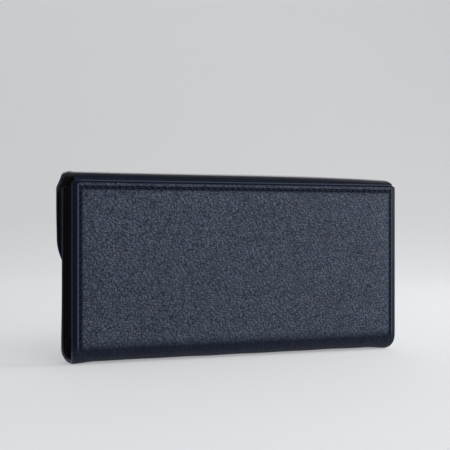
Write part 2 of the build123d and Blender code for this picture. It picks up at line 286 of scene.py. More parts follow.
def mapRange(tree, value, ends, kind="LINEAR"):
    # ends gives From Min, From Max, To Min and To Max where they aren't 0 or 1
    return addNode(tree, "MapRange", {"Value": value, **ends}, interpolation_type=kind).outputs[0]


def objectPlace(tree):
    return addNode(tree, "TexCoord").outputs["Object"]


def attribute(tree, name):
    return addNode(tree, "Attribute", attribute_name=name).outputs["Fac"]


def noise(tree, place, scale, detail, roughness=0.5):
    inputs = {"Vector": place, "Scale": scale, "Detail": detail, "Roughness": roughness}
    return addNode(tree, "TexNoise", inputs).outputs


def addRelief(tree, shader, height, strength, distance):
    relief = addNode(tree, "Bump", {"Height": height, "Strength": strength, "Distance": distance})
    feed(tree, shader.inputs["Normal"], relief.outputs[0])


def colourRamp(tree, source, *stops):
    ramp = addNode(tree, "ValToRGB", {0: source})
    while len(ramp.color_ramp.elements) < len(stops):
        ramp.color_ramp.elements.new(0.5)
    for element, (place, colour) in zip(ramp.color_ramp.elements, stops):
        element.position = place
        element.color = (*colour, 1)
    return ramp.outputs[0]


def grainCells(tree, place, finish, share, crownWidth):
    # 0 in the creases between the cells, rising to 1 on each cell's crown
    inputs = {"Vector": place, "Scale": finish["cells"] * share, "Randomness": finish["evenness"]}
    cells = addNode(tree, "TexVoronoi", inputs, feature="DISTANCE_TO_EDGE").outputs["Distance"]
    return mapRange(tree, cells, {"From Max": crownWidth}, "SMOOTHSTEP")


def pebbleLeather(name, finish):
    # slanted cells warped by noise, creases painted dark as shade and crowns painted light as a highlight,
    # all fading to the flat dark crease colour where the grain mark is 0
    material, tree, shader = newMaterial(name, finish)
    place = objectPlace(tree)
    warp = noise(tree, place, finish["warpScale"], 3.0)["Color"]
    slant = {"Vector": place, "Rotation": (0, finish["slant"], 0), "Scale": finish["stretch"]}
    slanted = addNode(tree, "Mapping", slant, vector_type="TEXTURE").outputs[0]
    centred = addNode(tree, "VectorMath", {0: warp, 1: (0.5, 0.5, 0.5)}, operation="SUBTRACT").outputs[0]
    scaled = addNode(tree, "VectorMath", {0: centred, "Scale": finish["warp"]}, operation="SCALE").outputs[0]
    warped = addNode(tree, "VectorMath", {0: slanted, 1: scaled}, operation="ADD").outputs[0]
    crowns = grainCells(tree, warped, finish, 1.0, finish["crownWidth"])
    folds = grainCells(tree, warped, finish, finish["foldShare"], finish["foldWidth"])
    fine = noise(tree, place, finish["fineScale"], 2.0)["Fac"]
    uneven = noise(tree, place, finish["unevenScale"], 1.0)["Fac"]
    grainAndSheen, wearAndHighlight = attribute(tree, "grainAndSheen"), attribute(tree, "wearAndHighlight")
    height = mathNode(tree, "MULTIPLY_ADD", folds, 0.6, crowns)
    height = mathNode(tree, "MULTIPLY_ADD", uneven, 0.7, height)
    height = mathNode(tree, "MULTIPLY", height, grainAndSheen)
    height = mathNode(tree, "MULTIPLY_ADD", fine, 0.22, height)
    addRelief(tree, shader, height, finish["reliefStrength"], finish["relief"])
    # colour: painted shade in the creases up to a painted highlight on the crowns, then patches a little
    # lighter or darker, then the rubbed edges and the painted highlight on the stitch ridge
    tone = mathNode(tree, "MULTIPLY", crowns, mathNode(tree, "MULTIPLY_ADD", folds, 0.5, 0.5))
    tone = mathNode(tree, "MULTIPLY", tone, grainAndSheen)
    paintedGrainShading = colourRamp(
        tree, tone, (0.0, finish["creaseAndMarginShade"]), (0.5, finish["middle"]), (1.0, finish["crownHighlight"]))
    patches = colourRamp(tree, uneven, (0.3, (0.94, 0.94, 0.95)), (0.7, (1.05, 1.05, 1.04)))
    mixed = addNode(tree, "MixRGB", {0: 1.0, 1: paintedGrainShading, 2: patches}, blend_type="MULTIPLY").outputs[0]
    # the rubbed edges and the painted highlight on the stitch ridge take the worn colour
    rubAndHighlight = {0: mathNode(tree, "MULTIPLY", wearAndHighlight, fine), 1: mixed, 2: (*finish["wornAndHighlight"], 1)}
    feed(tree, shader.inputs["Base Color"], addNode(tree, "MixRGB", rubAndHighlight).outputs[0])
    dull = {"To Min": finish["roughness"] + 0.08, "To Max": finish["roughness"] - 0.06}
    feed(tree, shader.inputs["Roughness"], mapRange(tree, tone, dull))
    shine = {"To Min": finish["marginSpecular"], "To Max": finish["specular"]}
    feed(tree, shader.inputs["Specular IOR Level"], mapRange(tree, grainAndSheen, shine))
    shader.inputs["Specular Tint"].default_value = (*finish["tint"], 1)
    shader.inputs["Coat Roughness"].default_value = 0.3
    feed(tree, shader.inputs["Coat Weight"], attribute(tree, "polish"))
    return material


def smoothLeather(name, finish):
    # fine pores and slow patches of colour
    material, tree, shader = newMaterial(name, finish)
    place = objectPlace(tree)
    pores = addNode(tree, "TexVoronoi", {"Vector": place, "Scale": finish["pores"]}).outputs["Distance"]
    uneven = noise(tree, place, finish["unevenScale"], 5.0)["Fac"]
    height = mathNode(tree, "MULTIPLY_ADD", uneven, 2.0, pores)
    addRelief(tree, shader, height, finish["reliefStrength"], finish["relief"])
    colour = colourRamp(tree, uneven, (0.3, finish["dark"]), (0.72, finish["light"]))
    feed(tree, shader.inputs["Base Color"], colour)
    dull = {"To Min": finish["roughness"] - 0.08, "To Max": finish["roughness"] + 0.1}
    feed(tree, shader.inputs["Roughness"], mapRange(tree, uneven, dull))
    return material


def wovenCloth(name, finish):
    # two crossed sets of yarns, slanted for a twill, with yarn-to-yarn variation
    material, tree, shader = newMaterial(name, finish)
    place = objectPlace(tree)
    waves = []
    for turn in finish["turns"]:
        facing = addNode(tree, "Mapping", {"Vector": place, "Rotation": turn}).outputs[0]
        inputs = {"Vector": facing, "Scale": finish["yarns"], "Distortion": 0.6, "Detail": 1.0}
        waves.append(addNode(tree, "TexWave", inputs, bands_direction="X").outputs["Fac"])
    weave = mathNode(tree, "MULTIPLY", waves[0], waves[1])
    uneven = noise(tree, place, finish["unevenScale"], 4.0)["Fac"]
    addRelief(tree, shader, weave, finish["reliefStrength"], finish["relief"])
    # the colour goes darker where the weave sinks, painted shade, with random patches on top
    tone = mathNode(tree, "MULTIPLY", mathNode(tree, "ADD", weave, uneven), 0.6)
    colour = colourRamp(tree, tone, (0.2, finish["dark"]), (0.85, finish["light"]))
    feed(tree, shader.inputs["Base Color"], colour)
    return material


def platedMetal(name, finish):
    # plating with small scuffs and slightly duller patches
    material, tree, shader = newMaterial(name, finish)
    scuffs = noise(tree, objectPlace(tree), finish["scuffs"], 4.0, 0.55)["Fac"]
    addRelief(tree, shader, scuffs, 0.06, 0.00002)
    colour = colourRamp(tree, scuffs, (0.35, finish["dark"]), (0.6, finish["light"]))
    feed(tree, shader.inputs["Base Color"], colour)
    dull = {"From Min": 0.3, "From Max": 0.7}
    dull.update({"To Min": finish["roughness"] - 0.04, "To Max": finish["roughness"] + 0.06})
    feed(tree, shader.inputs["Roughness"], mapRange(tree, scuffs, dull))
    return material


def waxedThread(name, finish):
    # plies wound round each stitch, read from its own "twist" mark
    material, tree, shader = newMaterial(name, finish)
    plies = mathNode(tree, "SINE", attribute(tree, "twist"))
    addRelief(tree, shader, plies, 0.6, 0.00006)
    # the colour follows the plies: painted shade in the hollows between them, lighter on their tops
    tone = mathNode(tree, "MULTIPLY_ADD", plies, 0.5, 0.5)
    colour = colourRamp(tree, tone, (0.1, finish["dark"]), (0.9, finish["light"]))
    feed(tree, shader.inputs["Base Color"], colour)
    return material


navyFinish = {
    "roughness": 0.46, "specular": 0.44, "marginSpecular": 0.125, "tint": (0.75, 0.85, 1.0),
    "cells": 1450.0, "crownWidth": 0.26, "evenness": 0.95, "foldShare": 0.46, "foldWidth": 0.15,
    "warpScale": 520.0, "warp": 0.00026, "slant": math.radians(34), "stretch": (3.0, 5.0, 0.95),
    "fineScale": 5200.0, "unevenScale": 95.0, "relief": 0.00028, "reliefStrength": 1.0,
    # the crease colour is painted shade, also laid on the smooth margins, and the crown colour is a painted
    # highlight
    "creaseAndMarginShade": (0.0014, 0.0036, 0.0125), "middle": (0.053, 0.067, 0.106), "crownHighlight": (0.134, 0.154, 0.21),
    # the worn colour paints the rubbed edges and also a painted highlight on the stitch ridge
    "wornAndHighlight": (0.11, 0.14, 0.21),
}
navyLeather = pebbleLeather("navyPebbleLeather", navyFinish)
pocketLeather = smoothLeather("pocketLeather", {
    "roughness": 0.5, "pores": 3600.0, "unevenScale": 160.0, "relief": 0.00006, "reliefStrength": 0.5,
    "dark": (0.009, 0.013, 0.028), "light": (0.022, 0.029, 0.052)})
# the gusset's own dark brown, darkened further as painted shade for the deep recess at the wallet's ends
gussetLeatherPaintedShade = smoothLeather("gussetLeatherPaintedShade", {
    "roughness": 0.55, "pores": 3000.0, "unevenScale": 120.0, "relief": 0.00008, "reliefStrength": 0.5,
    "specular": 0.12, "dark": (0.0012, 0.0009, 0.0007), "light": (0.0042, 0.0032, 0.0024)})
liningCloth = wovenCloth("liningTwill", {
    "roughness": 0.8, "yarns": 1500.0, "turns": [(0, 0, 0), (0, math.pi / 2, 0.6)], "unevenScale": 240.0,
    "relief": 0.00005, "reliefStrength": 0.5, "sheen": 0.1, "specular": 0.25,
    "dark": (0.0035, 0.0018, 0.002), "light": (0.014, 0.008, 0.009)})
tapeCloth = wovenCloth("zipTape", {
    "roughness": 0.85, "yarns": 1300.0, "turns": [(0, 0, 0), (0, 0, math.pi / 2)], "unevenScale": 300.0,
    "relief": 0.00008, "reliefStrength": 0.7, "sheen": 0.2,
    "dark": (0.006, 0.007, 0.013), "light": (0.02, 0.024, 0.04)})
boardFibre = smoothLeather("fibreBoard", {
    "roughness": 0.85, "pores": 2400.0, "unevenScale": 700.0, "relief": 0.00008, "reliefStrength": 0.6,
    "dark": (0.02, 0.017, 0.014), "light": (0.045, 0.038, 0.03)})
zipMetal = platedMetal("nickelPlate", {
    "roughness": 0.3, "metallic": 1.0, "scuffs": 420.0,
    "dark": (0.56, 0.56, 0.565), "light": (0.64, 0.635, 0.63)})
studMetal = platedMetal("darkNickelPlate", {
    "roughness": 0.32, "metallic": 1.0, "scuffs": 260.0,
    "dark": (0.34, 0.34, 0.35), "light": (0.4, 0.4, 0.407)})
navyThread = waxedThread("navyThread", {
    "roughness": 0.5, "specular": 0.3, "dark": (0.0025, 0.0045, 0.012), "light": (0.013, 0.02, 0.042)})
print("materials made")


shell = {
    "leather": 1.0, "turned": 2.15, "turnedWidth": 1.25, "edgeRadius": 0.85, "edgeDrop": 0.42,
    "backRadius": 9.8, "frontRadius": 5.9, "step": 1.2, "coarse": 1.15,
    "cornerCut": 2.6, "cornerDrop": 1.6, "footInset": 1.6, "footHeight": 7.0,
    "sideStitch": 3.85, "topStitch": 3.7, "grooveDepth": 0.6, "grooveWidth": 0.45,
    "ridge": 0.85, "ridgeHeight": 0.2, "ridgeWidth": 0.28, "marginDrop": 1.15, "frontDrop": 0.35,
    "puff": 0.6, "frontPuff": 0.2, "belly": 1.4, "wave": 0.06,
    "lift": 0.8, "liftStart": 80.0, "liftEnd": 93.0, "liftHeight": 9.0,
}


def shellPath(offset, top, frontTop, step):
    # down the back, round the fold and up the front, this far inside the outer face
    corners = [
        (depthToY(offset), top),
        (depthToY(offset), offset),
        (wallet["frontFace"] + offset, offset),
        (wallet["frontFace"] + offset, frontTop),
    ]
    radii = [shell["backRadius"] - offset, shell["frontRadius"] - offset]
    return bentPath(corners, radii, step, 0.5, 1.0)


def foldLift(x, z):
    # the fold's middle is carried a little higher than its two ends
    ends = smoothStep(np.abs(x), shell["liftStart"], shell["liftEnd"])
    return shell["lift"] * (1 - ends) * (1 - smoothStep(z, 1.0, shell["liftHeight"]))


def shellHalfWidth(along, z, total, top):
    # half length at each height: chamfered at the two tops, drawn in at the foot
    fromTop = np.minimum(along, total - along)
    cut = shell["cornerCut"] * np.clip(1 - fromTop / shell["cornerDrop"], 0, 1)
    foot = shell["footInset"] * np.clip(1 - z / shell["footHeight"], 0, 1) ** 2
    return wallet["halfLength"] - cut - foot


def makeShell():
    # the path's points moved along its normals: out for field, ridges and belly, in for grooves and margins
    path = shellPath(0.0, wallet["backTop"], wallet["frontTop"], shell["step"])
    total = path[2][-1]
    middle = path[2][(path[2] > fineEdge[-1] + 0.4) & (path[2] < total - fineEdge[-1] - 0.4)]
    places = np.concatenate([fineEdge, middle, (total - fineEdge)[::-1]])
    spine, facing = resample(path, places)
    share = edgeSteps(wallet["halfLength"], fineEdge, shell["coarse"])
    half = shellHalfWidth(places, spine[:, 1], total, wallet["backTop"])[:, None]
    x = share[None, :] * half
    s = places[:, None] + 0 * x
    z = spine[:, 1][:, None] + 0 * x
    sideGap = half - np.abs(x)
    topGap = np.minimum(s, total - s)
    cutSlope = shell["cornerCut"] / shell["cornerDrop"]
    chamferGap = (sideGap + topGap * cutSlope) / math.hypot(1, cutSlope)
    gap = np.minimum(np.minimum(sideGap, topGap), np.where(topGap < shell["cornerDrop"], chamferGap, 99))
    # the field stands proud, a groove is pressed under the stitches, and the margins slope to a thin edge
    flat = smoothStep(z, wallet["foldTop"] - 5, wallet["foldTop"] + 2)
    onFront = s > total / 2
    seam = np.minimum(sideGap - shell["sideStitch"], topGap - shell["topStitch"])
    sideRidge = bump(sideGap, shell["sideStitch"] - shell["ridge"], shell["ridgeWidth"]) * (topGap > 1.8)
    slope = 1 - smoothStep(sideGap, -0.8, shell["sideStitch"] - shell["ridge"])
    puff = np.where(onFront, shell["frontPuff"], shell["puff"])
    lift = puff * smoothStep(gap, 3.2, 15) * smoothStep(z, 2, 22)
    lift = lift - shell["grooveDepth"] * bump(seam, 0, shell["grooveWidth"]) * flat
    marginDrop = np.where(onFront, shell["frontDrop"], shell["marginDrop"])
    lift = lift - marginDrop * slope * smoothStep(z, 1.0, 9.0)
    lift = lift + shell["belly"] * bump(z, 8, 17) * smoothStep(z, 0, 6) * onFront
    lift = lift + shell["ridgeHeight"] * flat * sideRidge
    lift = lift - 0.13 * flat * bump(topGap, 1.4, 0.22) * (sideGap > 2)
    lift = lift + shell["wave"] * softWaves(x, s, 4, 42) * smoothStep(gap, 4, 9)
    outerDrop = roundedDrop(gap, shell["edgeRadius"], shell["edgeDrop"])
    turned = 1 - smoothStep(gap, shell["turnedWidth"] - 0.1, shell["turnedWidth"] + 0.1)
    onTop = topGap < sideGap
    turned = turned * np.where(onTop & (s < total / 2), 0.0, 1.0)
    innerDepth = shell["leather"] + (shell["turned"] - shell["leather"]) * turned
    innerDepth = innerDepth + 0.4 * slope * (1 - turned)
    innerDepth = np.where(onTop & (s < total / 2), shell["leather"], innerDepth)
    innerRise = roundedDrop(gap, 0.5, 0.42)
    outer = offPath(spine, facing, x, lift - outerDrop)
    inner = offPath(spine, facing, x, innerRise - innerDepth)
    outer[..., 2] += foldLift(x, z)
    inner[..., 2] += foldLift(x, z)
    # the grain mark: pebble relief and painted sheen on the field, painted dark as shade on the smooth
    # margins, most of it on the top band and a little on the fold, both painted lighter as lit from above
    grainAndSheen = smoothStep(seam, 0.5, 2.2) * smoothStep(z, 6.0, 13.0)
    topBand = (1 - smoothStep(topGap, 2.7, 3.3)) * smoothStep(topGap, 1.3, 1.7)
    grainAndSheen = np.maximum(grainAndSheen, 0.9 * topBand * smoothStep(sideGap, 3.0, 4.5))
    grainAndSheen = np.maximum(grainAndSheen, 0.15 * (1 - smoothStep(z, 6, 11)))
    # rubbed edges, stronger at the top edge and near the fold, plus a painted highlight along the raised
    # stitch ridge
    wearAndHighlight = bump(gap, 0.2, 0.3) * (0.3 + 0.6 * (topGap < 1) + 0.5 * (1 - smoothStep(z, 3, 9)))
    wearAndHighlight = wearAndHighlight + 1.4 * np.clip(sideRidge, 0, 1) * flat
    return closedSheet("outerLeather", outer, inner, navyLeather, {"grainAndSheen": grainAndSheen, "wearAndHighlight": wearAndHighlight})


outerLeather = makeShell()
outerNodes = ["back_cover", "bottom_fold", "front_cover"]
settle(outerLeather, outerNodes, "back", "front")
print("outer leather", len(outerLeather.data.polygons))


liningWall = {"offset": 1.72, "thickness": 0.46, "inset": 1.5, "step": 2.0}


def makeLining():
    # the same path further in, a wall of even thickness with rounded edges
    top = wallet["backTop"] - liningWall["inset"]
    frontTop = wallet["frontTop"] - liningWall["inset"]
    path = shellPath(liningWall["offset"], top, frontTop, liningWall["step"])
    spine, facing, along = path
    half = wallet["halfLength"] - liningWall["inset"]
    share = edgeSteps(half, np.array([0, 0.15, 0.4, 1.0, 2.0]), 2.4)
    inset = shell["footInset"] * np.clip(1 - spine[:, 1] / shell["footHeight"], 0, 1) ** 2
    x = share[None, :] * (half - inset)[:, None]
    z = spine[:, 1][:, None] + 0 * x
    gap = np.minimum(np.minimum(along, along[-1] - along)[:, None] + 0 * x, half - np.abs(x))
    drop = roundedDrop(gap, 0.3, liningWall["thickness"] * 0.4)
    outer = offPath(spine, facing, x, -drop)
    inner = offPath(spine, facing, x, drop - liningWall["thickness"])
    outer[..., 2] += foldLift(x, z)
    inner[..., 2] += foldLift(x, z)
    return closedSheet("innerLining", outer, inner, liningCloth), (2 * half * mm, along[-1] * mm)


innerLining, innerCut = makeLining()
liningNodes = ["back_lining", "bottom_lining", "front_lining"]
settle(innerLining, liningNodes, "back", "front")


flap = {
    "leather": 1.0, "turned": 1.6, "turnedWidth": 1.25, "edgeRadius": 0.8, "edgeDrop": 0.42,
    "tongue": 1.12, "tongueFoot": 88.0, "kneeHeight": 95.7, "shoulderDepth": 5.0, "shoulderHeight": 97.9,
    "shoulderRadius": 12.0, "crestDepth": 12.5, "crestDrop": -0.35,
    "frontDrop": 0.1, "kneeRadius": 1.7, "crestRadius": 11.0, "bendRadius": 8.5,
    "bulge": 2.1, "bulgeTop": 78.0, "bulgeFoot": 52.0,
    "cornerRadius": 27.0, "step": 0.9, "stitch": 3.7, "grooveDepth": 0.4, "grooveWidth": 0.42,
    "marginDrop": 0.35, "endSag": 1.5, "flareStart": 97.2, "flareEnd": 90.0, "overhang": 0.9, "wave": 0.07,
}


def flapPath(offset, step):
    # up the tongue, over the knee and the crest, round the front bend and down
    inner = offset
    corners = [
        (depthToY(flap["tongue"] + inner), flap["tongueFoot"]),
        (depthToY(flap["tongue"] + inner), flap["kneeHeight"] - inner),
        (depthToY(flap["shoulderDepth"] + inner * 0.5), flap["shoulderHeight"] - inner),
        (depthToY(flap["crestDepth"]), wallet["roofTop"] - flap["crestDrop"] - inner),
        (wallet["flapFace"] - flap["bulge"] + inner, wallet["roofTop"] - flap["frontDrop"] - inner),
        (wallet["flapFace"] - flap["bulge"] + inner, flap["bulgeTop"]),
        (wallet["flapFace"] + inner, flap["bulgeFoot"]),
        (wallet["flapFace"] + inner, wallet["flapDrop"]),
    ]
    bends = [flap[name] - inner for name in ("shoulderRadius", "crestRadius", "bendRadius")]
    return bentPath(corners, [flap["kneeRadius"], *bends, 60, 60], step, 0.5, -1.0)


def flapHalfWidth(y, z, toEnd, inset):
    # the roof's width, widening below the bend, with round lower corners
    onFront = smoothStep(-z, -flap["flareStart"], -flap["flareEnd"]) * (y < depthToY(15))
    half = wallet["roofHalf"] + (wallet["halfLength"] - wallet["roofHalf"]) * onFront - inset
    half = half + flap["overhang"] * smoothStep(-y, -depthToY(7), -depthToY(17))
    radius = flap["cornerRadius"] - inset
    short = np.clip(radius - toEnd, 0, radius)
    return half - radius + np.sqrt(radius**2 - short**2)


def flapGap(x, toEnd, half, inset):
    # distance to the flap's outline: straight sides and foot, round corners
    radius = flap["cornerRadius"] - inset
    fullHalf = half
    across = np.abs(x) - (wallet["halfLength"] + flap["overhang"] - inset - radius)
    down = radius - toEnd
    corner = radius - np.hypot(np.clip(across, 0, None), np.clip(down, 0, None))
    straight = np.minimum(fullHalf - np.abs(x), toEnd)
    return np.where((across > 0) & (down > 0), corner, straight)


def roofSag(x, y, z):
    # the arch sinks a little towards its two ends, and not on the back panel or the front
    high = smoothStep(z, wallet["backTop"] - 1, wallet["roofTop"] - 1.0)
    share = x / wallet["roofHalf"]
    return flap["endSag"] * np.where(share < 0, np.abs(share) ** 2.6, -0.1 * np.abs(share) ** 3) * high


def flapSheet(name, part, fine, offsets, inset, material, steps, stitched, topHeight=None):
    # one length of the flap between two distances, from one offset under the face to another
    path = flapPath(0.0, steps)
    total = path[2][-1]
    fromCrest = np.abs(path[0][:, 0] - depthToY(flap["crestDepth"] + 1.5))
    crest = path[2][np.argmin(fromCrest + (path[0][:, 1] < wallet["backTop"]) * 99)]
    low, high = (0.0, crest) if part == "roof" else (crest, total - inset)
    if topHeight:
        low = np.interp(-topHeight, -path[0][path[2] > crest, 1], path[2][path[2] > crest])
    if part == "roof":
        count = math.ceil((high - low) / steps)
        places = np.linspace(low, high, count)
    else:
        foot = high - fine
        body = np.linspace(low, foot[-1], math.ceil((foot[-1] - low) / steps))
        places = np.concatenate([body, foot[::-1][1:]])
    spine, facing = resample(path, places)
    toEnd = (total - inset) - places
    half = flapHalfWidth(spine[:, 0], spine[:, 1], toEnd, inset)
    share = edgeSteps(wallet["halfLength"] - inset, fine, steps)
    x = share[None, :] * half[:, None]
    y = spine[:, 0][:, None] + 0 * x
    z = spine[:, 1][:, None] + 0 * x
    gap = flapGap(x, toEnd[:, None] + 0 * x, half[:, None] + 0 * x, inset)
    if part == "roof":
        gap = half[:, None] - np.abs(x)
    first, second = offsets(y, z, gap)
    thick = second - first
    drop = roundedDrop(gap, np.minimum(flap["edgeRadius"], thick), thick * 0.42)
    lift = 0 * x
    # on the roof the crest gets the pebble tone as a painted highlight, and the knee below stays painted
    # dark as shade
    grainAndSheen = 0.04 + 0.75 * smoothStep(z, 97.3, 98.9) + 0 * x
    wearAndHighlight = bump(gap, 0.25, 0.35) * 0.3
    if stitched:
        below = smoothStep(-z, -flap["flareEnd"] - 1, -flap["flareEnd"] + 3) * (y < depthToY(15))
        seam = gap - flap["stitch"]
        lift = -flap["grooveDepth"] * bump(seam, 0, flap["grooveWidth"]) * below
        lift = lift - flap["marginDrop"] * (1 - smoothStep(gap, -0.5, flap["stitch"] - 1.0)) * below
        waves = softWaves(x, places[:, None] + 0 * x, 8, 46)
        lift = lift + flap["wave"] * waves * smoothStep(gap, 4, 9) * below
        # on the stitched front: painted sheen on the field, painted dark as shade on the smooth margins, and
        # a little darker towards the bend
        grainAndSheen = np.maximum(1 - below, smoothStep(seam, 0.5, 2.0)) * (0.79 + 0.21 * smoothStep(-z, -97, -92))
        grainAndSheen = grainAndSheen * (1 - below * (1 - smoothStep(gap, 0.4, 2.4)))
    outer = offPath(spine, facing, x, lift - first - drop)
    inner = offPath(spine, facing, x, drop - second)
    sag = roofSag(x, y, z)
    outer[..., 2] -= sag
    inner[..., 2] -= sag
    polish = 0.9 * smoothStep(z, 97.4, 98.8)
    piece = closedSheet(name, outer, inner, material, {"grainAndSheen": grainAndSheen, "wearAndHighlight": wearAndHighlight, "polish": polish})
    cols = x.shape[1]
    row = np.arange(cols) + ((len(places) - 1) * cols if part == "roof" else 0)
    sharpenEdges(piece.data, np.concatenate([row, row + x.size]))
    return piece


def sharpenEdges(mesh, among):
    # edges with both ends among these vertices stay crisp, so two lengths meet without a shade line
    ends = np.empty(len(mesh.edges) * 2, np.int32)
    mesh.edges.foreach_get("vertices", ends)
    chosen = np.isin(ends.reshape(-1, 2), among).all(1)
    layer = mesh.attributes.get("sharp_edge") or mesh.attributes.new("sharp_edge", "BOOLEAN", "EDGE")
    layer.data.foreach_set("value", chosen)


def leatherOffsets(y, z, gap):
    # full thickness, and turned in under itself at the free edges of the front
    front = (y < depthToY(15)) * smoothStep(-z, -flap["flareStart"], -flap["flareStart"] + 2)
    turned = (1 - smoothStep(gap, flap["turnedWidth"] - 0.1, flap["turnedWidth"] + 0.1)) * front
    return 0 * gap, flap["leather"] + (flap["turned"] - flap["leather"]) * turned


def flapLiningOffsets(y, z, gap):
    # straight under the roof's leather, and under the stiffener on the front
    front = (y < depthToY(15)) * smoothStep(-z, -97.0, -94.6)
    start = flap["leather"] + 0.02 + 0.6 * front
    return start, start + 0.56


def stiffenerOffsets(y, z, gap):
    return flap["leather"] + 0.02 + 0 * gap, flap["leather"] + 0.58 + 0 * gap


def slitLining(name, part, inset, steps):
    return flapSheet(name, part, liningEdge, flapLiningOffsets, inset, liningCloth, steps, False)


step = flap["step"]
roofLeather = flapSheet("roofLeather", "roof", fineEdge, leatherOffsets, 0.0, navyLeather, step, False)
settle(roofLeather, ["flap_tongue", "flap_roof"], "back", "roof")
flapLeather = flapSheet("flapLeather", "front", fineEdge, leatherOffsets, 0.0, navyLeather, step, True)
settle(flapLeather, ["flap_cover"], "roof", "flap")
roofInside = slitLining("roofInside", "roof", 1.5, 2.0)
settle(roofInside, ["roof_lining"], "back", "roof")
flapInside = slitLining("flapInside", "front", 1.5, 1.6)
settle(flapInside, ["flap_lining"], "roof", "flap")
stiffener = flapSheet(
    "flapStiffener", "front", liningEdge, stiffenerOffsets, 3.0, boardFibre, 1.8, False, 92.0)
settle(stiffener, ["flap_stiffener"], "flap")
print("flap", len(flapLeather.data.polygons), "roof", len(roofLeather.data.polygons))


gusset = {"thickness": 0.62, "foldRadius": 0.9, "rounding": 0.3, "step": 2.5, "bow": 0.5}


def makeGusset(name, node, side):
    # a W of runs and tangent arcs seen from above, carried up the height and bowed as half a sine wave
    low, high = nodeBox(node)
    outerEnd = high[0] if side > 0 else -low[0]
    innerEnd = low[0] if side > 0 else -high[0]
    near, far = high[1] - gusset["thickness"] / 2, low[1] + gusset["thickness"] / 2
    crest = depthToY(middleDepth)
    corners = [
        (near, outerEnd), (near, outerEnd - 1.3),
        (crest + (near - crest) * 0.52, innerEnd + 0.4), (crest, outerEnd - 1.4),
        (crest + (far - crest) * 0.52, innerEnd + 0.4), (far, outerEnd - 1.3), (far, outerEnd),
    ]
    radii = [0.5, gusset["foldRadius"], gusset["foldRadius"], gusset["foldRadius"], 0.5]
    spine, facing, along = bentPath(corners, radii, 0.6, 0.2, 1.0)
    ends = np.array([0, 0.2, 0.5])
    z = np.arange(low[2] + 2, high[2] - 1, gusset["step"])
    z = np.concatenate([low[2] + ends, z, (high[2] - ends)[::-1]])
    upGap, alongGap = np.minimum(z - low[2], high[2] - z), np.minimum(along, along[-1] - along)
    gap = np.minimum(upGap[None, :], alongGap[:, None])
    drop = roundedDrop(gap, gusset["rounding"], gusset["thickness"] * 0.4)
    wave = gusset["bow"] * np.sin(np.pi * (z - low[2]) / (high[2] - low[2]))[None, :]
    wave = wave * bump(spine[:, 0], crest, 4.5)[:, None]
    sheets = []
    for depth in (gusset["thickness"] / 2 - drop, -gusset["thickness"] / 2 + drop):
        y = spine[:, :1] + facing[:, :1] * depth
        x = spine[:, 1:] + facing[:, 1:] * depth - wave
        sheets.append(np.stack([side * x, y, z[None, :] + 0 * x], -1))
    piece = closedSheet(name, sheets[0], sheets[1], gussetLeatherPaintedShade)
    return settle(piece, [node], "back", "front")


makeGusset("rightGusset", "right_gusset", 1)
makeGusset("leftGusset", "left_gusset", -1)
print("gussets made")


strip = {"rounding": 0.16, "creaseBelow": 2.2, "creaseDepth": 0.07, "seamDepth": 0.12, "step": 1.6}


def makeStrip(name, node, body, toFront, columns):
    # a plain strip with a creased top edge and pressed seams between its columns
    low, high = nodeBox(node)
    half = high[0]
    x = edgeSteps(half, np.array([0, 0.1, 0.3, 1.0]), strip["step"])[None, :] * half
    fine = np.array([0, 0.1, 0.25, 0.6, 1.4, 1.9, 2.2, 2.5, 3.2])
    z = np.arange(low[2] + 1.5, high[2] - 4, strip["step"])
    z = np.concatenate([low[2] + np.array([0, 0.1, 0.3]), z, (high[2] - fine)[::-1]])[:, None]
    x, z = x + 0 * z, z + 0 * x
    gap = np.minimum(half - np.abs(x), np.minimum(z - low[2], high[2] - z))
    thick = high[1] - low[1]
    drop = roundedDrop(gap, strip["rounding"], thick * 0.4)
    press = strip["creaseDepth"] * bump(high[2] - z, strip["creaseBelow"], 0.25)
    for seam in columns:
        press = np.maximum(press, strip["seamDepth"] * bump(x, seam, 0.35))
    shown = low[1] + drop + press if toFront else high[1] - drop - press
    hidden = high[1] - drop if toFront else low[1] + drop
    piece = closedSheet(name, np.stack([x, shown, z], -1), np.stack([x, hidden, z], -1), pocketLeather)
    return settle(piece, [node], body)


makeStrip("cardSlotRear", "card_slot_rear", "back", True, (0,))
makeStrip("cardSlotMiddle", "card_slot_middle", "back", True, (0,))
makeStrip("cardSlotFront", "card_slot_front", "back", True, (0,))
makeStrip("slipPocket", "slip_pocket", "front", False, ())
print("pockets made")


coinWall = {
    "thickness": 0.56, "neck": 56.0, "shoulder": 66.0, "neckRadius": 5.0, "shoulderRadius": 3.0,
    "headHalf": 84.0, "step": 1.8, "rounding": 0.25,
}


